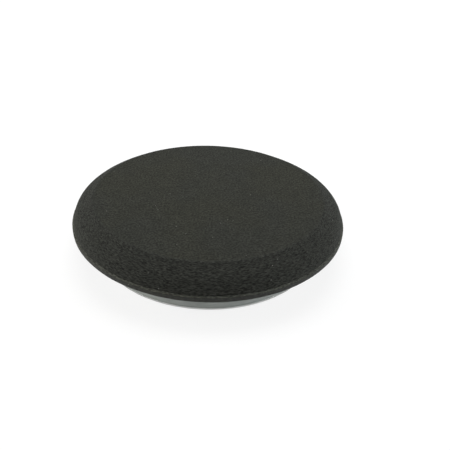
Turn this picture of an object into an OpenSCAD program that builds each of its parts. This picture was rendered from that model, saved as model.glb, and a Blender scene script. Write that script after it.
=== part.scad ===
// Round foam finishing pad for a machine polisher, lying on its loop side.
// Origin: centre of the resting face, +Z up towards the working face.
// The layers are bonded face to face, and each one is its own solid.

/* [Foam pad] */
// Outside diameter of the foam, at the upright rim
pad_d = 150; // [140:1:160]
// Diameter of the flat working face
face_d = 127; // [118:1:132]
// Height of the convex shoulder, from the rim to the working face
shoulder_h = 11.4; // [10.5:0.1:14]
// Width of the narrow ledge between the shoulder's foot and the rim
ledge_w = 0.9; // [0.4:0.1:2]
// Radius of the curve that runs from the shoulder's bevel down to the ledge
shoulder_r = 9.5; // [6:0.1:10]
// Height of the upright rim
rim_h = 2.5; // [2:0.1:6]
// Radius that rounds the rim's upper edge
ledge_round = 0.6; // [0.2:0.1:1]
// Radius that rounds the rim's lower edge
rim_round = 1.2; // [0.4:0.1:1.6]
// Height of the taper that runs in under the rim
taper_h = 10.3; // [6:0.1:16]

/* [Backing] */
// Diameter of the backing and of the foam's foot, to suit the machine's backing plate
backing_d = 125; // [100:1:125]
// Thickness of the closed-cell backing layer
backing_t = 3.8; // [2:0.1:8]

/* [Loop fabric] */
// Thickness of the knitted ground cloth
cloth_t = 0.4; // [0.2:0.1:0.8]
// Height of the loops under the cloth
pile_h = 1.2; // [0.6:0.1:2]

/* [Bond films] */
// Thickness of each hot-melt film
film_t = 0.2; // [0.1:0.1:0.4]
// How far each film stops short of the backing's edge
film_inset = 0.5; // [0.2:0.1:2]

/* [Hidden] */
// Round parts are drawn with this many segments
$fn = 180;
// Radii
pad_r = pad_d / 2;
face_r = face_d / 2;
backing_r = backing_d / 2;
film_r = backing_r - film_inset;
// Heights of the layers' undersides, counted up from the resting face
cloth_z = pile_h;
loop_film_z = cloth_z + cloth_t;
backing_z = loop_film_z + film_t;
foam_film_z = backing_z + backing_t;
foam_z = foam_film_z + film_t;
rim_z = foam_z + taper_h;
shoulder_z = rim_z + rim_h;
top_z = shoulder_z + shoulder_h;
// Where the bevel from the face's edge runs on into the shoulder's curve
curve_x = pad_r - ledge_w - shoulder_r;
edge_run = face_r - curve_x;
meet_angle = atan2(shoulder_h, edge_run) - acos(shoulder_r / norm([edge_run, shoulder_h]));
bevel_foot = [curve_x, shoulder_z] + shoulder_r * [cos(meet_angle), sin(meet_angle)];
// Where the rounding of the rim's lower edge meets the upright rim and the taper
taper_w = pad_r - backing_r;
taper_l = norm([taper_w, taper_h]);
corner_angle = 90 + atan2(taper_h, taper_w);
tangent_l = rim_round / tan(corner_angle / 2);
on_rim = [pad_r, rim_z + tangent_l];
on_taper = [pad_r - tangent_l * taper_w / taper_l, rim_z - tangent_l * taper_h / taper_l];

// One flat round layer, from its underside up
module layer(radius, underside, thickness) {
    translate([0, 0, underside]) cylinder(r = radius, h = thickness);
}

// Half section of the foam below the shoulder: foot, taper, rounded edges and upright rim
module lower_section() {
    polygon([
        [0, foam_z],
        [backing_r, foam_z],
        on_taper,
        on_rim,
        [pad_r, shoulder_z - ledge_round],
        [pad_r - ledge_round, shoulder_z],
        [0, shoulder_z]
    ]);
    translate([pad_r - ledge_round, shoulder_z - ledge_round]) circle(r = ledge_round);
    translate(on_rim - [rim_round, 0]) circle(r = rim_round);
}

// Half section of the foam above the rim: flat face, bevel and the curve down to the ledge
module upper_section() {
    polygon([[0, shoulder_z], [curve_x, shoulder_z], bevel_foot, [face_r, top_z], [0, top_z]]);
    intersection() {
        translate([curve_x, shoulder_z]) circle(r = shoulder_r);
        translate([curve_x, shoulder_z]) square(shoulder_r);
    }
}

// Open-cell polyurethane foam
module foam_pad() {
    color([0.17, 0.17, 0.15]) rotate_extrude() {
        lower_section();
        upper_section();
    }
}

// Hot-melt film between the foam and the backing layer
module foam_bond_film() {
    color([0.75, 0.73, 0.66]) layer(film_r, foam_film_z, film_t);
}

// Closed-cell foam disc that stiffens the pad
module backing_layer() {
    color([0.62, 0.63, 0.62]) layer(backing_r, backing_z, backing_t);
}

// Hot-melt film between the backing layer and the loop cloth
module loop_bond_film() {
    color([0.75, 0.73, 0.66]) layer(film_r, loop_film_z, film_t);
}

// Knitted ground cloth
module loop_cloth() {
    color([0.68, 0.69, 0.67]) layer(backing_r, cloth_z, cloth_t);
}

// Outer shape of the pile of loops, which the pad rests on
module loop_pile() {
    color([0.72, 0.73, 0.71]) layer(backing_r, 0, pile_h);
}

foam_pad();
foam_bond_film();
backing_layer();
loop_bond_film();
loop_cloth();
loop_pile();
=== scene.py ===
"""Round foam finishing pad for a machine polisher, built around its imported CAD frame.

The pad lies on its loops with the working face up. Each layer of the laminate is a class that
builds its own mesh and dresses it in a procedural finish.
"""

import logging
import math
from collections.abc import Callable
from dataclasses import dataclass, field
from enum import Enum
from typing import ClassVar

import bmesh
import bpy
from mathutils import Matrix, Vector, noise


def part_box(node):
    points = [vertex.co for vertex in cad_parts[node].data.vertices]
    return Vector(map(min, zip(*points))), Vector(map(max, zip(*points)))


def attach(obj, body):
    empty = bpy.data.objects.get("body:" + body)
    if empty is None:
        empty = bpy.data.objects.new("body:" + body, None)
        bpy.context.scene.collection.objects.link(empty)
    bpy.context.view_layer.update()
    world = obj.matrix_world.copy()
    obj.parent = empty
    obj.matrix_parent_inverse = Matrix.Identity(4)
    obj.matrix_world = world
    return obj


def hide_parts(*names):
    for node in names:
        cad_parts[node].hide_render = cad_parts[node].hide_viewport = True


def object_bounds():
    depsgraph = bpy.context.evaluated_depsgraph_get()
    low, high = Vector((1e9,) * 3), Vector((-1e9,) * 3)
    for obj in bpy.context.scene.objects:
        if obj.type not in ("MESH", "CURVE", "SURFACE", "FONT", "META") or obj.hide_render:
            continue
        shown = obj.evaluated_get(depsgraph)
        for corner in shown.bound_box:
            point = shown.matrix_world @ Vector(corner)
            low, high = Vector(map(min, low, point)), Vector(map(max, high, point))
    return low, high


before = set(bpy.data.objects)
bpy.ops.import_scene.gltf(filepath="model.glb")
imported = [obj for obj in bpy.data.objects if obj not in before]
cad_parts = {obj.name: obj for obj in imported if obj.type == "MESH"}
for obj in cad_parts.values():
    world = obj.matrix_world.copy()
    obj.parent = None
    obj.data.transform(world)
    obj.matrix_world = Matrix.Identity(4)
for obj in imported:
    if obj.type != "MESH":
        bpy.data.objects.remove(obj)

CAD_BOX = [list(corner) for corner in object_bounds()]
BODY = "root"
MM = 0.001
# How far a step down the shoulder counts beside a step outwards, along its surface.
DOWN_SHARE = 0.8
# A mix node's two inputs and its output, for each kind of value.
MIX_SOCKETS = {"RGBA": (6, 7, 2), "FLOAT": (2, 3, 0)}
LOG = logging.getLogger("pad")

Point = tuple[float, float]
Colour = tuple[float, float, float]
Foot = tuple[Vector, float, float]
Socket = bpy.types.NodeSocket


class Node(Enum):
    """The CAD nodes, one for each layer of the laminate."""

    FOAM = "foam_pad"
    FOAM_FILM = "foam_bond_film"
    BACKING = "backing_layer"
    LOOP_FILM = "loop_bond_film"
    CLOTH = "loop_cloth"
    PILE = "loop_pile"


class Slot(Enum):
    """The record's material slots."""

    FOAM = "open_cell_foam"
    BACKING = "closed_cell_foam"
    FILM = "hot_melt_film"
    GROUND = "loop_ground"
    YARN = "loop_yarn"


@dataclass(frozen=True)
class Layer:
    """Where one layer of the laminate lies in the frame.

    Args:
        radius: Outside radius, in metres.
        low: Height of its underside, in metres.
        high: Height of its upper side, in metres.
    """

    radius: float
    low: float
    high: float

    @classmethod
    def of(cls, node: Node) -> "Layer":
        """Reads a layer's radius and heights from its CAD node.

        Args:
            node: The CAD node.

        Returns:
            The layer as the frame holds it.
        """
        low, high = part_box(node.value)
        return cls(radius=(high[0] - low[0]) / 2, low=low[2], high=high[2])


# ---------------------------------------------------------------- mesh making


def smooth_step(low: float, high: float, value: float) -> float:
    """Eases from 0 at low to 1 at high.

    Args:
        low: Where the step starts.
        high: Where the step ends.
        value: Where it is read.

    Returns:
        A share from 0 to 1.
    """
    share = min(max((value - low) / (high - low), 0.0), 1.0)
    return share * share * (3.0 - 2.0 * share)


def arc_points(start: Point, end: Point, radius: float, count: int) -> list[Point]:
    """Points of a half section along an arc that bulges outwards and up.

    Args:
        start: First point, (radius, height), the upper one.
        end: Last point, (radius, height).
        radius: The arc's own radius.
        count: How many steps the arc is cut into.

    Returns:
        The points after start, up to and with end.
    """
    across, drop = end[0] - start[0], start[1] - end[1]
    chord = math.hypot(across, drop)
    gap = math.sqrt(radius ** 2 - (chord / 2) ** 2)
    centre = (start[0] + across / 2 - gap * drop / chord,
              end[1] + drop / 2 - gap * across / chord)
    first = math.atan2(start[1] - centre[1], start[0] - centre[0])
    last = math.atan2(end[1] - centre[1], end[0] - centre[0])
    turns = (first + (last - first) * step / count for step in range(1, count + 1))
    return [(centre[0] + radius * math.cos(turn), centre[1] + radius * math.sin(turn))
            for turn in turns]


def line_points(start: Point, end: Point, count: int) -> list[Point]:
    """Points of a half section along a straight line.

    Args:
        start: First point, (radius, height).
        end: Last point, (radius, height).
        count: How many steps the line is cut into.

    Returns:
        The points after start, up to and with end.
    """
    return [(start[0] + (end[0] - start[0]) * step / count,
             start[1] + (end[1] - start[1]) * step / count) for step in range(1, count + 1)]


@dataclass
class RoundMesh:
    """A round body that is built outwards from a gridded disc.

    Args:
        cells: Cells along each side of the grid that is bent into the disc.
        work: The mesh being built.
        ring: The outermost ring of vertices so far, in order.
    """

    cells: int
    work: bmesh.types.BMesh = field(default_factory=bmesh.new)
    ring: list[bmesh.types.BMVert] = field(default_factory=list)

    def disc(self, radius: float, height: float, upward: bool = True) -> None:
        """Lays an even grid of quads that fills a disc.

        Args:
            radius: The disc's radius.
            height: The disc's height.
            upward: Whether its faces look up.
        """
        cells, half = self.cells, self.cells / 2
        grid = []
        for row in range(cells + 1):
            line = []
            for column in range(cells + 1):
                u, v = column / half - 1, row / half - 1
                if abs(u) >= abs(v):
                    reach, turn = u, (math.pi / 4) * (v / u if u else 0.0)
                else:
                    reach, turn = v, math.pi / 2 - (math.pi / 4) * (u / v)
                place = (radius * reach * math.cos(turn), radius * reach * math.sin(turn), height)
                line.append(self.work.verts.new(place))
            grid.append(line)
        for row in range(cells):
            for column in range(cells):
                corners = [grid[row][column], grid[row][column + 1],
                           grid[row + 1][column + 1], grid[row + 1][column]]
                self.work.faces.new(corners if upward else corners[::-1])
        self.ring = (grid[0][:-1] + [line[-1] for line in grid[:-1]]
                     + grid[-1][:0:-1] + [line[0] for line in grid[:0:-1]])

    def turn(self, section: list[Point], upward: bool = True) -> None:
        """Carries the outermost ring on through the points of a half section.

        Args:
            section: Points, (radius, height).
            upward: Whether the disc that it started from looks up.
        """
        angles = [math.atan2(vert.co.y, vert.co.x) for vert in self.ring]
        for radius, height in section:
            fresh = [self.work.verts.new((radius * math.cos(angle), radius * math.sin(angle), height))
                     for angle in angles]
            for index in range(len(fresh)):
                after = (index + 1) % len(fresh)
                corners = [self.ring[index], fresh[index], fresh[after], self.ring[after]]
                self.work.faces.new(corners if upward else corners[::-1])
            self.ring = fresh

    def close(self, upward: bool = True) -> None:
        """Fills the outermost ring with a fan of triangles about its middle.

        Args:
            upward: Whether the disc that the body started from looks up.
        """
        middle = self.work.verts.new((0.0, 0.0, self.ring[0].co.z))
        for index in range(len(self.ring)):
            corners = [self.ring[index], middle, self.ring[(index + 1) % len(self.ring)]]
            self.work.faces.new(corners if upward else corners[::-1])

    def fray(self, inner: float, stray: Callable[[Vector], float]) -> None:
        """Moves the vertices outside a radius further out or in.

        Args:
            inner: The radius.
            stray: How far out a vertex goes, from its own place.
        """
        for vert in self.work.verts:
            reach = math.hypot(vert.co.x, vert.co.y)
            if reach > inner + 0.01 * MM:
                vert.co.xy *= 1.0 + stray(vert.co) / reach

    def finish(self, name: str) -> bpy.types.Object:
        """Turns the work into an object with smooth faces.

        Args:
            name: The object's name.

        Returns:
            The new object, in the scene.
        """
        mesh = bpy.data.meshes.new(name)
        self.work.to_mesh(mesh)
        self.work.free()
        return place_mesh(name, mesh)


def place_mesh(name: str, mesh: bpy.types.Mesh) -> bpy.types.Object:
    """Puts a mesh into the scene with smooth faces.

    Args:
        name: The object's name.
        mesh: Its mesh.

    Returns:
        The new object.
    """
    mesh.polygons.foreach_set("use_smooth", [True] * len(mesh.polygons))
    piece = bpy.data.objects.new(name, mesh)
    bpy.context.scene.collection.objects.link(piece)
    return piece


def write_values(piece: bpy.types.Object, name: str, values: list[float]) -> None:
    """Stores one number a vertex, for the piece's finish to read.

    Args:
        piece: The piece.
        name: The attribute's name.
        values: One number for each vertex.
    """
    piece.data.attributes.new(name, "FLOAT", "POINT").data.foreach_set("value", values)


# ---------------------------------------------------------------- finishes


@dataclass
class Shader:
    """A node tree that a finish is wired up in.

    Args:
        name: The material's name.
        material: The material that holds the tree.
    """

    name: str
    material: bpy.types.Material = field(init=False)

    def __post_init__(self) -> None:
        """Makes the material, with its surface shader."""
        self.material = bpy.data.materials.new(self.name)
        self.material.use_nodes = True
        self.tree = self.material.node_tree
        self.surface = self.tree.nodes["Principled BSDF"]
        self.place = self.add("ShaderNodeTexCoord").outputs["Object"]

    def add(self, kind: str, **settings: object) -> bpy.types.Node:
        """Adds a node.

        Args:
            kind: The node's type.
            settings: Its properties.

        Returns:
            The node.
        """
        node = self.tree.nodes.new(kind)
        for key, value in settings.items():
            setattr(node, key, value)
        return node

    def wire(self, source: Socket, target: Socket) -> None:
        """Links two sockets."""
        self.tree.links.new(source, target)

    def feed(self, socket: Socket, value: object) -> None:
        """Sets a socket to a number, or links it where value is a socket."""
        if isinstance(value, Socket):
            self.wire(value, socket)
        else:
            socket.default_value = value

    def math(self, operation: str, first: object, second: object = 0.0) -> Socket:
        """A sum on two numbers or sockets.

        Args:
            operation: The sum's name.
            first: Number or socket.
            second: Number or socket.

        Returns:
            The result's socket.
        """
        node = self.add("ShaderNodeMath", operation=operation)
        self.feed(node.inputs[0], first)
        self.feed(node.inputs[1], second)
        return node.outputs[0]

    def times(self, first: object, second: object) -> Socket:
        """Multiplies two numbers or sockets."""
        return self.math("MULTIPLY", first, second)

    def scaled(self, vector: Socket, share: object) -> Socket:
        """Scales a vector or a colour by a number or socket."""
        node = self.add("ShaderNodeVectorMath", operation="SCALE")
        self.wire(vector, node.inputs[0])
        self.feed(node.inputs["Scale"], share)
        return node.outputs[0]

    def reach(self, place: Socket) -> Socket:
        """Measures how far coordinates are from their origin."""
        node = self.add("ShaderNodeVectorMath", operation="LENGTH")
        self.wire(place, node.inputs[0])
        return node.outputs["Value"]

    def axes(self, place: Socket) -> bpy.types.bpy_prop_collection:
        """Splits coordinates into the outputs X, Y and Z."""
        node = self.add("ShaderNodeSeparateXYZ")
        self.wire(place, node.inputs[0])
        return node.outputs

    def spread(self, value: Socket, low: float, high: float, to_low: float = 0.0,
               to_high: float = 1.0) -> Socket:
        """Maps a range of a value onto another range, and keeps it there.

        Args:
            value: The socket that is read.
            low: Its value that gives to_low.
            high: Its value that gives to_high.
            to_low: Lowest result.
            to_high: Highest result.

        Returns:
            The result's socket.
        """
        node = self.add("ShaderNodeMapRange", interpolation_type="SMOOTHSTEP")
        self.wire(value, node.inputs["Value"])
        for key, number in (("From Min", low), ("From Max", high),
                            ("To Min", to_low), ("To Max", to_high)):
            node.inputs[key].default_value = number
        return node.outputs["Result"]

    def clouds(self, size: float, detail: float = 2.0, roughness: float = 0.5,
               place: Socket | None = None) -> Socket:
        """Noise whose lumps are about one size.

        Args:
            size: Size of a lump, in metres.
            detail: Octaves of finer noise.
            roughness: How strong the finer noise is.
            place: Coordinates, or the object's own.

        Returns:
            The noise, from 0 to 1.
        """
        node = self.add("ShaderNodeTexNoise")
        node.inputs["Scale"].default_value = 1.0 / size
        node.inputs["Detail"].default_value = detail
        node.inputs["Roughness"].default_value = roughness
        self.wire(place or self.place, node.inputs["Vector"])
        return node.outputs["Fac"]

    def cells(self, size: float, feature: str = "F1") -> bpy.types.Node:
        """A cell pattern of about one size.

        Args:
            size: Size of a cell, in metres.
            feature: Which distance the pattern gives.

        Returns:
            The pattern's node.
        """
        node = self.add("ShaderNodeTexVoronoi", feature=feature)
        node.inputs["Scale"].default_value = 1.0 / size
        self.wire(self.place, node.inputs["Vector"])
        return node

    def turned(self, reach: float, length: float, width: float) -> Socket:
        """Coordinates that stretch a pattern round the pad's axis.

        Args:
            reach: Distance from the axis at which length holds, in metres.
            length: Size of a mark round the axis, in metres.
            width: Size of a mark down the surface, in metres.

        Returns:
            The coordinates, in marks.
        """
        flat = self.add("ShaderNodeVectorMath", operation="MULTIPLY")
        self.wire(self.place, flat.inputs[0])
        flat.inputs[1].default_value = (1.0, 1.0, 0.0)
        heading = self.add("ShaderNodeVectorMath", operation="NORMALIZE")
        self.wire(flat.outputs[0], heading.inputs[0])
        around = self.axes(self.scaled(heading.outputs[0], reach / length))
        wander = self.times(self.clouds(6.0 * MM, detail=2.0), 1.8 * MM)
        along = self.math("SUBTRACT", self.reach(flat.outputs[0]),
                          self.times(self.axes(self.place)["Z"], DOWN_SHARE))
        down = self.math("DIVIDE", self.math("ADD", along, wander), width)
        joined = self.add("ShaderNodeCombineXYZ")
        for key, source in (("X", around["X"]), ("Y", around["Y"]), ("Z", down)):
            self.wire(source, joined.inputs[key])
        return joined.outputs[0]

    def blend(self, share: object, first: object, second: object, kind: str = "RGBA") -> Socket:
        """Mixes two colours, or two numbers.

        Args:
            share: How much of the second, number or socket.
            first: Colour, number or socket.
            second: Colour, number or socket.
            kind: RGBA for colours and FLOAT for numbers.

        Returns:
            The mixed value.
        """
        node = self.add("ShaderNodeMix", data_type=kind)
        first_at, second_at, out_at = MIX_SOCKETS[kind]
        for place, value in ((0, share), (first_at, first), (second_at, second)):
            self.feed(node.inputs[place], value)
        return node.outputs[out_at]

    def stored(self, name: str) -> Socket:
        """Reads a number that the mesh holds at each vertex."""
        return self.add("ShaderNodeAttribute", attribute_name=name).outputs["Fac"]

    def bumps(self, height: Socket, depth: float, strength: float) -> None:
        """Raises fine relief on the surface.

        Args:
            height: The relief, from 0 to 1.
            depth: Its depth in metres.
            strength: How much of it shows.
        """
        node = self.add("ShaderNodeBump")
        node.inputs["Strength"].default_value = strength
        node.inputs["Distance"].default_value = depth
        self.wire(height, node.inputs["Height"])
        self.wire(node.outputs["Normal"], self.surface.inputs["Normal"])

    def set(self, **values: object) -> None:
        """Sets the surface shader's own sockets, whose names are written with _ for a space."""
        for key, value in values.items():
            self.feed(self.surface.inputs[key.replace("_", " ")], value)


def shade(colour: Colour, share: float) -> tuple[float, float, float, float]:
    """A colour made lighter or darker by one share."""
    return (colour[0] * share, colour[1] * share, colour[2] * share, 1.0)


class Finish:
    """A procedural finish, which each kind wires up in its own way."""

    name: ClassVar[str]

    def wire(self, shader: Shader) -> None:
        """Wires up the finish in a fresh material."""
        raise NotImplementedError

    def make(self) -> bpy.types.Material:
        """Makes the finish's material.

        Returns:
            The material.
        """
        shader = Shader(self.name)
        self.wire(shader)
        return shader.material


@dataclass(frozen=True)
class OpenCellFoam(Finish):
    """Black open-cell foam: fine even pores on the face, torn and streaky where it was ground, with
    painted shade in its pores and grooves and a painted highlight on its ledge.

    Args:
        colour: The foam's colour on the face.
        ground_colour: Its colour where it was ground.
        pore: Size of one pore, in metres.
        pore_depth: Depth of the pores' relief, in metres.
        grain: Size of the grain, in metres.
        mottle: Size of the faint blotches, in metres.
        patch: Size of the broad changes of hue, in metres.
        lint: Distance between specks of lint, in metres.
        lint_size: Radius of a speck, as a share of that distance.
        lint_colour: The lint's colour.
        streak: Length and width of a fine grinding streak, in metres.
        roughness: The surface's roughness.
        glint: How much it reflects.
        rim_roughness: Its roughness on the die-cut rim.
        rim_glint: How much the die-cut rim reflects.
        sheen: Strength of the soft light on the cell walls.
    """

    name: ClassVar[str] = "open_cell_foam"
    colour: Colour = (0.0246, 0.0252, 0.0192)
    ground_colour: Colour = (0.0219, 0.0228, 0.0196)
    pore: float = 0.42 * MM
    pore_depth: float = 0.10 * MM
    grain: float = 1.0 * MM
    mottle: float = 4.5 * MM
    patch: float = 38.0 * MM
    lint: float = 5.5 * MM
    lint_size: float = 0.035
    lint_colour: Colour = (0.30, 0.30, 0.275)
    streak: tuple[float, float] = (1.6 * MM, 0.29 * MM)
    roughness: float = 0.95
    glint: float = 0.15
    rim_roughness: float = 0.70
    rim_glint: float = 0.38
    sheen: float = 0.05

    def wire(self, shader: Shader) -> None:
        """Wires up the pores, the grain, the grinding streaks and the lint, with painted shade in the
        pores and grooves and a painted highlight on the streaks' ridges and the ledge.
        """
        ground, relief, rim, ledge = map(shader.stored, ("ground", "relief", "rim", "ledge"))
        walls = shader.cells(self.pore, "DISTANCE_TO_EDGE").outputs["Distance"]
        hollow = shader.spread(walls, 0.0, 0.35)
        grain = shader.clouds(self.grain, detail=2.0, roughness=0.6)
        mottle = shader.clouds(self.mottle, detail=3.0, roughness=0.6)
        patches = shader.clouds(self.patch, detail=2.0)
        streaks = shader.clouds(1.0, detail=1.0, roughness=0.5,
                                place=shader.turned(70.0 * MM, *self.streak))

        # Brightness: painted shade darkens the pores and the grinding grooves, a painted highlight
        # lightens the grooves' ridges and the ledge, and torn cell walls are lighter.
        face_tone = shader.times(shader.spread(grain, 0.33, 0.67, 0.55, 1.49),
                                 shader.spread(mottle, 0.3, 0.7, 0.89, 1.11))
        # Painted shade: the middle of each pore is darker than the cell walls round it.
        painted_pore_shade = shader.spread(hollow, 0.0, 1.0, 1.12, 0.90)
        # Painted shade and highlight: the ground foam is darker in the streaks' grooves and lighter
        # on their ridges.
        painted_groove_shade_and_highlight = shader.times(shader.spread(relief, 0.0, 1.0, 0.92, 1.08),
                                   shader.spread(streaks, 0.32, 0.68, 0.30, 1.89))
        calm = shader.blend(shader.times(ground, 0.85), face_tone, 1.0, "FLOAT")
        cut = shader.blend(ground, 1.0, painted_groove_shade_and_highlight, "FLOAT")
        # Painted highlight: the flat ledge is 2.9 times lighter; the die-cut rim below it is a little
        # darker.
        painted_ledge_highlight_and_rim_tone = shader.times(shader.spread(rim, 0.0, 1.0, 1.0, 0.85),
                                 shader.spread(ledge, 0.0, 1.0, 1.0, 2.9))
        tone = shader.times(shader.times(calm, painted_pore_shade), shader.times(cut, painted_ledge_highlight_and_rim_tone))
        hue = shader.blend(shader.spread(patches, 0.35, 0.65), shade(self.colour, 1.02),
                           (self.colour[0] * 0.97, self.colour[1] * 0.99, self.colour[2] * 1.08, 1))
        cut_hue = shader.blend(ground, hue, shade(self.ground_colour, 1.0))

        # Lint: a few tiny pale specks that sit in the pores.
        specks = shader.cells(self.lint)
        is_speck = shader.math("LESS_THAN", specks.outputs["Distance"], self.lint_size)
        dyed = shader.blend(shader.times(is_speck, 0.75), shader.scaled(cut_hue, tone),
                            shade(self.lint_colour, 1.0))

        height = shader.math("ADD", shader.times(hollow, -0.55), shader.times(grain, 0.9))
        rough = shader.times(shader.times(streaks, ground), 2.6)
        shader.bumps(shader.math("ADD", height, rough), self.pore_depth, 0.8)
        smoother = shader.spread(rim, 0.0, 1.0, self.roughness, self.rim_roughness)
        glint = shader.spread(rim, 0.0, 1.0, self.glint, self.rim_glint)
        shader.set(Base_Color=dyed, Roughness=smoother, Specular_IOR_Level=glint,
                   Sheen_Weight=self.sheen, Sheen_Roughness=0.45)
        shader.surface.inputs["Sheen Tint"].default_value = (0.75, 0.76, 0.70, 1.0)


@dataclass(frozen=True)
class ClosedCellFoam(Finish):
    """Light grey closed-cell foam, die cut, with faint knife lines round its edge.

    Args:
        colour: The foam's colour.
        cell: Size of one cell, in metres.
        roughness: The surface's roughness.
    """

    name: ClassVar[str] = "closed_cell_foam"
    colour: Colour = (0.425, 0.449, 0.431)
    cell: float = 0.30 * MM
    roughness: float = 0.72

    def wire(self, shader: Shader) -> None:
        """Wires up the cells, the knife lines and the faint clouds."""
        cells = shader.spread(shader.cells(self.cell).outputs["Distance"], 0.0, 0.7)
        stretch = shader.add("ShaderNodeMapping")
        stretch.inputs["Scale"].default_value = (0.06, 0.06, 1.0)
        shader.wire(shader.place, stretch.inputs["Vector"])
        knife = shader.clouds(0.35 * MM, detail=2.0, place=stretch.outputs[0])
        cloud = shader.clouds(6.0 * MM, detail=3.0)
        tone = shader.times(shader.spread(knife, 0.3, 0.7, 0.93, 1.05),
                            shader.spread(cells, 0.0, 1.0, 0.92, 1.03))
        tint = shader.blend(shader.spread(cloud, 0.35, 0.65), shade(self.colour, 0.96),
                            shade(self.colour, 1.04))
        shader.bumps(shader.math("ADD", cells, shader.times(knife, 1.2)), 0.06 * MM, 0.6)
        rough = shader.spread(cloud, 0.3, 0.7, self.roughness - 0.05, self.roughness + 0.06)
        shader.set(Base_Color=shader.scaled(tint, tone), Roughness=rough, Specular_IOR_Level=0.3)


@dataclass(frozen=True)
class HotMelt(Finish):
    """Thin cloudy hot-melt adhesive.

    Args:
        colour: The adhesive's colour.
        roughness: Its roughness where it has flowed smooth.
    """

    name: ClassVar[str] = "hot_melt_film"
    colour: Colour = (0.62, 0.60, 0.50)
    roughness: float = 0.34

    def wire(self, shader: Shader) -> None:
        """Wires up the flow marks and the cloudiness."""
        flow = shader.clouds(1.6 * MM, detail=3.0)
        fill = shader.clouds(9.0 * MM)
        shader.set(
            Base_Color=shader.blend(shader.spread(fill, 0.35, 0.65), shade(self.colour, 0.82),
                                    shade(self.colour, 1.1)),
            Roughness=shader.spread(flow, 0.3, 0.7, self.roughness - 0.08, self.roughness + 0.2),
            Specular_IOR_Level=0.45, IOR=1.48)
        shader.bumps(flow, 0.08 * MM, 0.5)


@dataclass(frozen=True)
class Knit(Finish):
    """Warp-knitted ground cloth, with ribs one way and stitches the other.

    Args:
        colour: The yarn's colour.
        rib: Distance between ribs, in metres.
        stitch: Distance between stitches, in metres.
    """

    name: ClassVar[str] = "loop_ground"
    colour: Colour = (0.46, 0.485, 0.465)
    rib: float = 0.9 * MM
    stitch: float = 0.7 * MM

    def wire(self, shader: Shader) -> None:
        """Wires up the ribs, the stitches and the lint."""
        axes = shader.axes(shader.place)
        ribs = shader.math("SINE", shader.times(axes["X"], 2 * math.pi / self.rib))
        stitches = shader.math("SINE", shader.times(axes["Y"], 2 * math.pi / self.stitch))
        weave = shader.math("ADD", shader.times(ribs, 0.6), shader.times(stitches, 0.4))
        lint = shader.clouds(0.5 * MM, detail=4.0, roughness=0.65)
        height = shader.math("ADD", shader.times(weave, 0.5), lint)
        shade_share = shader.spread(height, 0.0, 1.2)
        shader.set(Base_Color=shader.blend(shade_share, shade(self.colour, 0.66),
                                           shade(self.colour, 1.12)),
                   Roughness=0.88, Specular_IOR_Level=0.3, Sheen_Weight=0.2, Sheen_Roughness=0.4)
        shader.bumps(height, 0.12 * MM, 0.8)


@dataclass(frozen=True)
class PileYarn(Finish):
    """Soft filament yarn of the raised loops.

    Args:
        colour: The yarn's colour.
    """

    name: ClassVar[str] = "loop_yarn"
    colour: Colour = (0.50, 0.52, 0.50)

    def wire(self, shader: Shader) -> None:
        """Wires up the fibres and the worn patches."""
        fibre = shader.clouds(0.12 * MM, detail=2.0)
        patch = shader.clouds(11.0 * MM, detail=2.0)
        tone = shader.blend(shader.spread(patch, 0.35, 0.65), shade(self.colour, 0.90),
                            shade(self.colour, 1.08))
        worn = shader.blend(shader.spread(fibre, 0.35, 0.65, 0.0, 0.35), tone,
                            shade(self.colour, 0.70))
        shader.set(Base_Color=worn, Roughness=0.62, Specular_IOR_Level=0.4,
                   Sheen_Weight=0.3, Sheen_Roughness=0.35)
        shader.bumps(fibre, 0.03 * MM, 0.7)


@dataclass(frozen=True)
class StudioFloor(Finish):
    """Matt white studio table whose shadows a painted white glow, seen only by the camera, keeps
    faint.

    Args:
        colour: The floor's colour.
        fade: How far the shadows on it are faded towards white.
        near: Distance from the pad at which it starts to clear to white, in metres.
        far: Distance at which it is clear white, in metres.
    """

    name: ClassVar[str] = "studio_floor"
    colour: Colour = (0.80, 0.80, 0.80)
    fade: float = 0.72
    near: float = 0.25
    far: float = 0.90

    def wire(self, shader: Shader) -> None:
        """Wires up the matt surface and the painted white glow, seen only by the camera, that fades
        its shadows towards white.
        """
        faint = shader.clouds(60.0 * MM, detail=2.0)
        shader.set(Base_Color=shader.blend(shader.spread(faint, 0.3, 0.7), shade(self.colour, 0.99),
                                           shade(self.colour, 1.0)),
                   Roughness=0.9, Specular_IOR_Level=0.1)
        seen = shader.add("ShaderNodeLightPath").outputs["Is Camera Ray"]
        clear = shader.spread(shader.reach(shader.place), self.near, self.far, self.fade, 1.0)
        # Painted glow: camera rays see white here, which lights nothing else.
        white = shader.add("ShaderNodeEmission")
        white.inputs["Strength"].default_value = 1.12
        pick = shader.add("ShaderNodeMixShader")
        shader.wire(shader.times(seen, clear), pick.inputs[0])
        shader.wire(shader.surface.outputs[0], pick.inputs[1])
        shader.wire(white.outputs[0], pick.inputs[2])
        shader.wire(pick.outputs[0], shader.tree.nodes["Material Output"].inputs["Surface"])


def hand_over(piece: bpy.types.Object, node: Node,
              finish: bpy.types.Material) -> None:
    """Dresses a piece, hangs it on the body, hides the CAD node that it replaces and logs its
    triangles.

    Args:
        piece: The finished piece.
        node: The CAD node that it replaces.
        finish: Its material.
    """
    piece.data.materials.clear()
    piece.data.materials.append(finish)
    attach(piece, BODY)
    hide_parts(node.value)
    triangles = sum(len(face.vertices) - 2 for face in piece.data.polygons)
    LOG.info("%s: %d triangles", piece.name, triangles)


# ---------------------------------------------------------------- the layers


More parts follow.
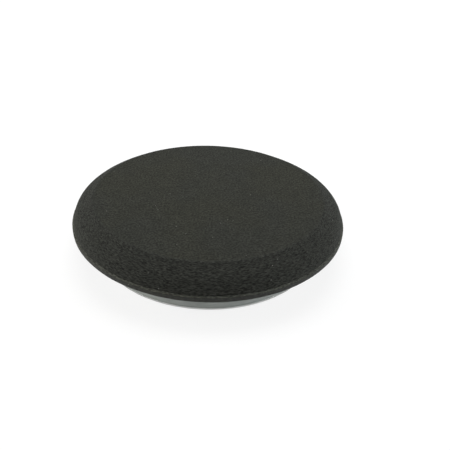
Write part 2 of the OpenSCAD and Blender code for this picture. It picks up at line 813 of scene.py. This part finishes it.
@dataclass
class FoamPad:
    """The black foam: flat face, bevelled and rounded shoulder, ledge, upright rim and taper.

    Args:
        face_radius: Radius of the flat working face.
        face_round: Radius that softens the face's edge.
        shoulder_height: Height of the shoulder above the ledge.
        shoulder_radius: Radius of the curve from the shoulder's bevel down to the ledge.
        ledge: Width of the ledge outside the shoulder's foot.
        rim_height: Height of the upright rim.
        rim_round: Radius of the rim's rounded lower edge.
        foot_radius: Radius of the foot, where the foam is bonded to its backing.
        cells: Cells across the face.
        streak: Length and width of one grinding streak.
        streak_depth: Depth of the streaks.
        grain_depth: Depth of the finer grain on the ground foam.
        face_depth: Depth of the grain on the face.
        swell: How far the face strays from flat, since foam is never quite true.
        layer: The foam's place in the frame.
    """

    face_radius: float = 63.5 * MM
    face_round: float = 1.8 * MM
    shoulder_height: float = 11.4 * MM
    shoulder_radius: float = 9.5 * MM
    ledge: float = 0.9 * MM
    rim_height: float = 2.5 * MM
    rim_round: float = 1.2 * MM
    foot_radius: float = 62.5 * MM
    cells: int = 204
    streak: tuple[float, float] = (2.2 * MM, 0.62 * MM)
    streak_depth: float = 0.05 * MM
    grain_depth: float = 0.045 * MM
    face_depth: float = 0.06 * MM
    swell: float = 0.16 * MM
    layer: Layer = field(default_factory=lambda: Layer.of(Node.FOAM))

    def face_trim(self, meet: float) -> float:
        """How far the softened edge starts short of the face's own edge.

        Args:
            meet: Angle above the horizon of the bevel's outward direction.

        Returns:
            The distance, in metres.
        """
        return self.face_round * math.tan((math.pi / 2 - meet) / 2)

    def section(self) -> list[Point]:
        """The half section outside the flat face, from its edge round to the foot.

        Returns:
            Points, (radius, height).
        """
        layer = self.layer
        ledge_height = layer.high - self.shoulder_height
        shoulder_foot = (layer.radius - self.ledge, ledge_height)
        centre = shoulder_foot[0] - self.shoulder_radius
        run = self.face_radius - centre
        meet = (math.atan2(self.shoulder_height, run)
                - math.acos(self.shoulder_radius / math.hypot(run, self.shoulder_height)))
        curve_top = (centre + self.shoulder_radius * math.cos(meet),
                     ledge_height + self.shoulder_radius * math.sin(meet))
        trim = self.face_trim(meet)
        bevel_top = (self.face_radius + trim * math.sin(meet), layer.high - trim * math.cos(meet))
        under = ledge_height - self.rim_height
        taper = math.atan2(under - layer.low, layer.radius - self.foot_radius)
        rim_foot = (layer.radius, under + 0.5 * self.rim_round)
        taper_top = (layer.radius - 0.9 * self.rim_round * math.cos(taper),
                     under - 0.9 * self.rim_round * math.sin(taper))
        corner = 0.25 * MM
        points = arc_points((self.face_radius - trim, layer.high), bevel_top, self.face_round, 4)
        points += line_points(points[-1], curve_top, 14)
        points += arc_points(points[-1], shoulder_foot, self.shoulder_radius, 18)
        points += line_points(shoulder_foot, (layer.radius - corner, ledge_height), 2)
        points += arc_points(points[-1], (layer.radius, ledge_height - corner), corner, 2)
        points += line_points(points[-1], rim_foot, 5)
        points += arc_points(points[-1], taper_top, self.rim_round, 3)
        return points + line_points(points[-1], (self.foot_radius, layer.low), 20)

    def ground_share(self, spot: Vector) -> float:
        """How far the foam at one spot has been ground, from 0 on the face to 1."""
        layer = self.layer
        reach = math.hypot(spot.x, spot.y)
        stray = 0.5 * MM * noise.noise(spot / (6.0 * MM))
        if spot.z < layer.high - self.shoulder_height - 0.02 * MM:
            return 0.45
        on_shoulder = smooth_step(self.face_radius - 1.5 * MM, self.face_radius - 0.1 * MM,
                                  reach + stray)
        return on_shoulder * (1.0 - 0.3 * smooth_step(layer.radius - 1.4 * self.ledge,
                                                      layer.radius - 0.6 * self.ledge, reach))

    def rim_share(self, spot: Vector) -> float:
        """Whether one spot is below the ledge, where the foam is die cut, from 0 to 1."""
        drop = self.layer.high - self.shoulder_height - spot.z
        return smooth_step(0.05 * MM, 0.45 * MM, drop)

    def ledge_share(self, spot: Vector) -> float:
        """Whether one spot is on the flat ledge, where the finish paints a highlight: 1 on it and 0
        elsewhere.
        """
        off = abs(self.layer.high - self.shoulder_height - spot.z)
        reach = math.hypot(spot.x, spot.y)
        return float(off < 0.12 * MM and reach > self.layer.radius - self.ledge - 0.05 * MM)

    def streaks(self, spot: Vector, along: float) -> float:
        """Wavy grinding streaks that run round the pad.

        Args:
            spot: The spot on the surface.
            along: Distance from the pad's axis, measured down the surface.

        Returns:
            The streaks' height, about -1 to 1.
        """
        angle = math.atan2(spot.y, spot.x)
        turns = self.face_radius / self.streak[0]
        wander = 1.6 * MM * noise.noise(spot / (7.0 * MM)) + 0.6 * MM * noise.noise(spot / (2.5 * MM))
        across = (along + wander) / self.streak[1]
        ring = Vector((math.cos(angle) * turns, math.sin(angle) * turns, across))
        finer = Vector((ring.x * 2.1, ring.y * 2.1, across * 1.7 + 9.0))
        return 0.72 * noise.noise(ring) + 0.42 * noise.noise(finer)

    def relief(self, spot: Vector, along: float, ground: float) -> float:
        """Height of the surface's texture at one spot.

        Args:
            spot: The spot on the surface.
            along: Distance from the pad's axis, measured down the surface.
            ground: How far it has been ground.

        Returns:
            The height, in metres.
        """
        fine = noise.noise(spot / (1.2 * MM)) + 0.6 * noise.noise(spot / (0.7 * MM))
        broad = noise.noise(spot / (24.0 * MM))
        rough = self.streak_depth * self.streaks(spot, along) + self.grain_depth * fine
        return (ground * rough + (1.0 - ground) * self.face_depth * fine
                + self.swell * broad * (1.0 - 0.6 * ground))

    def build(self) -> bpy.types.Object:
        """Builds the foam's mesh, with its texture in the surface itself.

        Returns:
            The piece.
        """
        layer = self.layer
        body = RoundMesh(self.cells)
        section = self.section()
        body.disc(section[0][0] - 0.4 * MM, layer.high)
        body.turn(section)
        body.close()
        body.work.normal_update()
        stored = {"ground": [], "relief": [], "rim": [], "ledge": []}
        moves = []
        for vert in body.work.verts:
            spot = vert.co.copy()
            along = math.hypot(spot.x, spot.y) + DOWN_SHARE * (layer.high - spot.z)
            ground = self.ground_share(spot)
            bonded = spot.z < layer.low + 0.5 * MM
            height = 0.0 if bonded else self.relief(spot, along, ground)
            moves.append(vert.normal * min(height - 0.05 * MM, 0.35 * MM))
            stored["ground"].append(ground)
            # The streaks' height, kept for the finish, which paints shade in their grooves and a
            # highlight on their ridges.
            stored["relief"].append(min(max(0.5 + 0.9 * self.streaks(spot, along), 0.0), 1.0))
            stored["rim"].append(self.rim_share(spot))
            stored["ledge"].append(self.ledge_share(spot))
        for vert, move in zip(body.work.verts, moves):
            vert.co += move
        piece = body.finish("foam")
        for name, values in stored.items():
            write_values(piece, name, values)
        return piece

    def make(self) -> None:
        """Builds, dresses and hands over the foam."""
        piece = self.build()
        hand_over(piece, Node.FOAM, OpenCellFoam().make())


@dataclass
class BackingLayer:
    """The closed-cell disc, die cut, with a slightly barrelled edge.

    Args:
        edge_round: Radius of the edges.
        barrel: How far the edge bulges at half its height.
        cells: Cells across the disc.
        waver: How far the cut edge wavers.
    """

    edge_round: float = 0.35 * MM
    barrel: float = 0.12 * MM
    cells: int = 96
    waver: float = 0.10 * MM

    def stray(self, spot: Vector) -> float:
        """How far the cut edge strays outwards at one spot."""
        broad = noise.noise(Vector((spot.x, spot.y, 0)) / (14.0 * MM))
        return min(self.waver * broad + 0.04 * MM * noise.noise(spot / (1.1 * MM)), self.waver)

    def build(self) -> bpy.types.Object:
        """Builds the disc.

        Returns:
            The piece.
        """
        layer = Layer.of(Node.BACKING)
        inner, outer = layer.radius - self.edge_round, layer.radius - self.barrel
        body = RoundMesh(self.cells)
        body.disc(inner, layer.high)
        side = arc_points((inner, layer.high), (outer, layer.high - self.edge_round),
                          self.edge_round, 3)
        fall = layer.high - layer.low - 2 * self.edge_round
        steps = 12
        for step in range(1, steps + 1):
            bulge = self.barrel * math.sin(math.pi * step / steps)
            side.append((outer + bulge, layer.high - self.edge_round - fall * step / steps))
        lower = arc_points((inner, -layer.low), (outer, -layer.low - self.edge_round),
                           self.edge_round, 3)
        side += [(radius, -height) for radius, height in reversed(lower[:-1])]
        side.append((inner, layer.low))
        body.turn(side)
        body.close()
        body.fray(inner, self.stray)
        return body.finish("backing")

    def make(self) -> None:
        """Builds, dresses and hands over the backing layer."""
        piece = self.build()
        hand_over(piece, Node.BACKING, ClosedCellFoam().make())


@dataclass
class BondFilm:
    """One thin hot-melt film with a flowed, uneven edge.

    Args:
        node: The CAD node of this film.
        name: The piece's name.
        seed: Tells one film's edge from the other's.
        flow: How far the edge wanders.
        cells: Cells across the film.
    """

    node: Node
    name: str
    seed: float
    flow: float = 0.35 * MM
    cells: int = 72

    def stray(self, place: Vector) -> float:
        """How far the flowed edge strays outwards at one spot."""
        spot = Vector((place.x, place.y, self.seed))
        return self.flow * (noise.noise(spot / (5.0 * MM)) + 0.5 * noise.noise(spot / (1.7 * MM)))

    def build(self) -> bpy.types.Object:
        """Builds the film.

        Returns:
            The piece.
        """
        layer = Layer.of(self.node)
        body = RoundMesh(self.cells)
        inner = layer.radius - 1.0 * MM
        half = (layer.high - layer.low) / 2
        body.disc(inner, layer.high)
        body.turn([(layer.radius - half, layer.high)])
        body.turn(arc_points((layer.radius - half, layer.high), (layer.radius, layer.low + half),
                             half, 3))
        body.turn([(layer.radius - 0.3 * half, layer.low + 0.3 * half),
                   (layer.radius - half, layer.low), (inner, layer.low)])
        body.close()
        body.fray(inner, self.stray)
        return body.finish(self.name)

    def make(self, finish: bpy.types.Material) -> None:
        """Builds, dresses and hands over the film.

        Args:
            finish: The adhesive's material.
        """
        hand_over(self.build(), self.node, finish)


@dataclass
class LoopCloth:
    """The knitted ground cloth, cut round, with ribs on the side that shows.

    Args:
        cells: Cells across the cloth.
        rib: Distance between ribs.
        rib_depth: Depth of the ribs.
        waver: How far the cut edge wavers.
    """

    cells: int = 180
    rib: float = 2.1 * MM
    rib_depth: float = 0.06 * MM
    waver: float = 0.12 * MM

    def build(self) -> bpy.types.Object:
        """Builds the cloth, from its underside.

        Returns:
            The piece.
        """
        layer = Layer.of(Node.CLOTH)
        body = RoundMesh(self.cells)
        inner = layer.radius - 0.25 * MM
        middle = (layer.low + layer.high) / 2
        body.disc(inner, layer.low, upward=False)
        body.turn([(layer.radius - 0.16 * MM, layer.low + 0.06 * MM),
                   (layer.radius - 0.12 * MM, middle),
                   (layer.radius - 0.16 * MM, layer.high - 0.06 * MM),
                   (inner, layer.high)], upward=False)
        body.close(upward=False)
        for vert in body.work.verts:
            if math.hypot(vert.co.x, vert.co.y) <= inner + 0.01 * MM and vert.co.z < middle:
                ribs = math.cos(2 * math.pi * vert.co.x / self.rib)
                vert.co.z += self.rib_depth * (0.5 + 0.5 * ribs)
        body.fray(inner, lambda spot: self.waver * noise.noise(spot / (1.4 * MM)))
        return body.finish("cloth")

    def make(self) -> None:
        """Builds, dresses and hands over the cloth."""
        piece = self.build()
        hand_over(piece, Node.CLOTH, Knit().make())
        radius = Layer.of(Node.CLOTH).radius


@dataclass
class LoopPile:
    """The raised loops of yarn, one row beside the next, each one a bent tube.

    Args:
        row: Distance between rows.
        step: Distance between loops in a row.
        yarn: Radius of the yarn.
        width: Distance between a loop's two feet.
        sides: Sides of the yarn.
        bends: Steps from one foot to the other.
        rings: Rings of cut loops that close the edge.
        ring_step: Distance between the loops of a ring.
        seed: Fixes how the loops stray from their rows. Zero would take it from the clock.
    """

    row: float = 2.15 * MM
    step: float = 1.95 * MM
    yarn: float = 0.15 * MM
    width: float = 1.00 * MM
    sides: int = 4
    bends: int = 5
    rings: int = 2
    ring_step: float = 0.80 * MM
    seed: int = 11

    def path(self, foot: Vector, rise: float, heading: float, lean: float) -> list[Vector]:
        """The middle line of one loop, which hangs below the cloth.

        Args:
            foot: Middle of the loop's two feet.
            rise: The loop's height.
            heading: Which way its feet are spread.
            lean: How far its tip leans over.

        Returns:
            Points from one foot to the other.
        """
        across = Vector((math.cos(heading), math.sin(heading), 0.0))
        aside = Vector((-across.y, across.x, 0.0))
        points = []
        for bend in range(self.bends + 1):
            turn = math.pi * bend / self.bends
            swell = 1.0 + 0.35 * math.sin(turn)
            points.append(foot - across * (0.5 * self.width * swell * math.cos(turn))
                          + aside * (lean * math.sin(turn) ** 2)
                          - Vector((0.0, 0.0, rise * math.sin(turn) ** 0.8)))
        return points

    def tube(self, path: list[Vector], verts: list[Vector], faces: list[list[int]]) -> None:
        """Adds a closed tube of yarn along a path.

        Args:
            path: Its middle line.
            verts: Where its vertices are added.
            faces: Where its faces are added.
        """
        start = len(verts)
        side = (path[-1] - path[0]).cross(Vector((0.0, 0.0, 1.0))).normalized()
        for index, point in enumerate(path):
            ahead = path[min(index + 1, len(path) - 1)] - path[max(index - 1, 0)]
            normal = side.cross(ahead).normalized()
            for corner in range(self.sides):
                turn = 2 * math.pi * corner / self.sides
                verts.append(point + self.yarn * (math.cos(turn) * side + math.sin(turn) * normal))
        for ring in range(len(path) - 1):
            low = start + ring * self.sides
            for corner in range(self.sides):
                after = (corner + 1) % self.sides
                faces.append([low + corner, low + after,
                              low + self.sides + after, low + self.sides + corner])
        last = start + (len(path) - 1) * self.sides
        faces.append([start + corner for corner in reversed(range(self.sides))])
        faces.append([last + corner for corner in range(self.sides)])

    def field_feet(self, limit: float) -> list[Foot]:
        """Where the loops of the open field stand.

        Args:
            limit: How far from the axis they reach.

        Returns:
            For each loop its foot, heading and lean.
        """
        feet = []
        rows, steps = int(limit / self.row), int(limit / self.step) + 1
        for row in range(-rows, rows + 1):
            for place in range(-steps, steps + 1):
                spot = Vector(((place + 0.5 * (row % 2)) * self.step, row * self.row, 0.0))
                drift = noise.noise_vector(spot / (0.9 * MM))
                spot += Vector((drift.x, drift.y, 0.0)) * (0.45 * MM)
                brush = noise.noise_vector(spot / (16.0 * MM))
                if spot.length <= limit:
                    feet.append((spot, 0.9 * brush.x + 1.5 * drift.x, (0.35 + 0.5 * drift.y) * MM))
        return feet

    def edge_feet(self, radius: float) -> list[Foot]:
        """Where the loops of one ring at the edge stand.

        Args:
            radius: The ring's radius.

        Returns:
            For each loop its foot, heading and lean.
        """
        feet = []
        count = int(2 * math.pi * radius / self.ring_step)
        for place in range(count):
            turn = 2 * math.pi * place / count
            spot = Vector((radius * math.cos(turn), radius * math.sin(turn), 0.0))
            drift = noise.noise_vector(spot / (0.7 * MM))
            reach = 1.0 + 0.10 * MM * drift.x / radius
            feet.append((spot * reach, turn + math.pi / 2 + 0.7 * drift.y, -0.10 * MM * drift.z))
        return feet

    def build(self) -> bpy.types.Object:
        """Builds every loop.

        Returns:
            The piece.
        """
        noise.seed_set(self.seed)
        layer = Layer.of(Node.PILE)
        height = layer.high - layer.low - self.yarn
        edge = layer.radius - 0.45 * MM
        feet = self.field_feet(edge - self.rings * self.ring_step - 0.3 * self.width)
        for ring in range(self.rings):
            feet += self.edge_feet(edge - ring * self.ring_step)
        verts, faces = [], []
        for spot, heading, lean in feet:
            foot = Vector((spot.x, spot.y, layer.high + 0.02 * MM))
            rise = height * (0.93 + 0.12 * noise.noise(spot / (0.8 * MM)))
            self.tube(self.path(foot, min(rise, height), heading, lean), verts, faces)
        mesh = bpy.data.meshes.new("loops")
        mesh.from_pydata(verts, [], faces)
        mesh.update()
        return place_mesh("loops", mesh)

    def make(self) -> None:
        """Builds, dresses and hands over the loops."""
        hand_over(self.build(), Node.PILE, PileYarn().make())


# ---------------------------------------------------------------- the studio


@dataclass
class Lamp:
    """One soft light.

    Args:
        name: The lamp's name.
        azimuth: Where it stands, in degrees from the front towards the right.
        elevation: Its height, in degrees above the floor.
        distance: How far it is from the pad, in metres.
        size: Its width and length, in metres.
        power: Its power, in watts.
        tint: Its colour.
    """

    name: str
    azimuth: float
    elevation: float
    distance: float
    size: tuple[float, float]
    power: float
    tint: Colour = (1.0, 1.0, 1.0)

    def hang(self, target: Vector) -> None:
        """Hangs the lamp so that it looks at the pad.

        Args:
            target: The point that it looks at.
        """
        light = bpy.data.lights.new(self.name, "AREA")
        light.shape = "RECTANGLE"
        light.size, light.size_y = self.size
        light.energy = self.power
        light.color = self.tint
        lamp = bpy.data.objects.new(self.name, light)
        bpy.context.scene.collection.objects.link(lamp)
        turn, rise = math.radians(self.azimuth), math.radians(self.elevation)
        away = Vector((math.sin(turn) * math.cos(rise), -math.cos(turn) * math.cos(rise),
                       math.sin(rise)))
        lamp.location = target + away * self.distance
        lamp.rotation_euler = away.to_track_quat("Z", "Y").to_euler()


@dataclass
class Studio:
    """White floor, soft lights and the camera.

    Args:
        elevation: The camera's height above the floor, in degrees.
        distance: The camera's distance from the pad.
        lens: Its focal length in millimetres, on a 36 mm wide frame.
        aim: How far right and up of the pad's middle the camera looks.
        roll: How far the camera leans, in degrees.
        sky: Strength of the light from all round.
        floor_size: Half the floor's width.
    """

    elevation: float = 31.86
    distance: float = 0.300
    lens: float = 42.13
    aim: tuple[float, float] = (9.22 * MM, -4.83 * MM)
    roll: float = 2.34
    sky: float = 0.125
    floor_size: float = 2.4

    def lamps(self) -> list[Lamp]:
        """The lights: the overhead softbox, one at each side and a fill from the front.

        Returns:
            The lamps.
        """
        return [
            Lamp("overhead", azimuth=180, elevation=66, distance=0.9, size=(0.8, 0.8), power=5.5),
            Lamp("left_side", azimuth=-94, elevation=18, distance=0.9, size=(0.7, 0.4), power=6.2,
                 tint=(1.0, 0.99, 0.95)),
            Lamp("right_side", azimuth=94, elevation=18, distance=0.9, size=(0.7, 0.4), power=5.2,
                 tint=(0.94, 0.98, 1.0)),
            Lamp("front_fill", azimuth=4, elevation=36, distance=1.1, size=(0.9, 0.5), power=2.6),
        ]

    def lay_floor(self) -> None:
        """Lays the floor that the pad rests on."""
        work = bmesh.new()
        bmesh.ops.create_grid(work, x_segments=12, y_segments=12, size=self.floor_size)
        mesh = bpy.data.meshes.new("floor")
        work.to_mesh(mesh)
        work.free()
        floor = place_mesh("floor", mesh)
        floor.location.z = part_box(Node.PILE.value)[0][2] - 0.02 * MM
        floor.data.materials.append(StudioFloor().make())

    def light(self, target: Vector) -> None:
        """Lights the room.

        Args:
            target: The middle of the pad.
        """
        scene = bpy.context.scene
        world = bpy.data.worlds.new("studio")
        world.use_nodes = True
        tree = world.node_tree
        sky = tree.nodes["Background"]
        sky.inputs["Strength"].default_value = self.sky
        seen = tree.nodes.new("ShaderNodeBackground")
        seen.inputs["Color"].default_value = (1.0, 1.0, 1.0, 1.0)
        sky.inputs["Color"].default_value = (1.0, 1.0, 1.0, 1.0)
        ray = tree.nodes.new("ShaderNodeLightPath")
        pick = tree.nodes.new("ShaderNodeMixShader")
        tree.links.new(ray.outputs["Is Camera Ray"], pick.inputs[0])
        tree.links.new(sky.outputs[0], pick.inputs[1])
        tree.links.new(seen.outputs[0], pick.inputs[2])
        tree.links.new(pick.outputs[0], tree.nodes["World Output"].inputs["Surface"])
        scene.world = world
        for lamp in self.lamps():
            lamp.hang(target)
        scene.view_settings.view_transform = "Standard"

    def set_camera(self, target: Vector) -> None:
        """Puts the camera in place.

        Args:
            target: The middle of the pad.
        """
        rise = math.radians(self.elevation)
        away = Vector((0.0, -math.cos(rise), math.sin(rise)))
        right, up = Vector((1.0, 0.0, 0.0)), Vector((0.0, math.sin(rise), math.cos(rise)))
        place = target + away * self.distance
        look = target + right * self.aim[0] + up * self.aim[1] - place
        turn = look.to_track_quat("-Z", "Y").to_matrix() @ Matrix.Rotation(
            math.radians(self.roll), 3, "Z")
        camera = bpy.data.objects.new("camera", bpy.data.cameras.new("camera"))
        camera.data.lens = self.lens
        camera.data.sensor_width = 36.0
        camera.data.clip_start = 0.01
        camera.matrix_world = Matrix.Translation(place) @ turn.to_4x4()
        bpy.context.scene.collection.objects.link(camera)
        bpy.context.scene.camera = camera

    def make(self) -> None:
        """Builds the studio round the pad."""
        target = Vector((0.0, 0.0, (CAD_BOX[0][2] + CAD_BOX[1][2]) / 2))
        self.lay_floor()
        self.light(target)
        self.set_camera(target)


def main() -> None:
    """Builds the pad from its working face down, and then the studio."""
    logging.basicConfig(level=logging.INFO, format="%(name)s: %(message)s")
    FoamPad().make()
    adhesive = HotMelt().make()
    BondFilm(Node.FOAM_FILM, "foam_bond", seed=0.0).make(adhesive)
    BackingLayer().make()
    BondFilm(Node.LOOP_FILM, "loop_bond", seed=1.0).make(adhesive)
    LoopCloth().make()
    LoopPile().make()
    Studio().make()


if __name__ == "__main__":
    main()
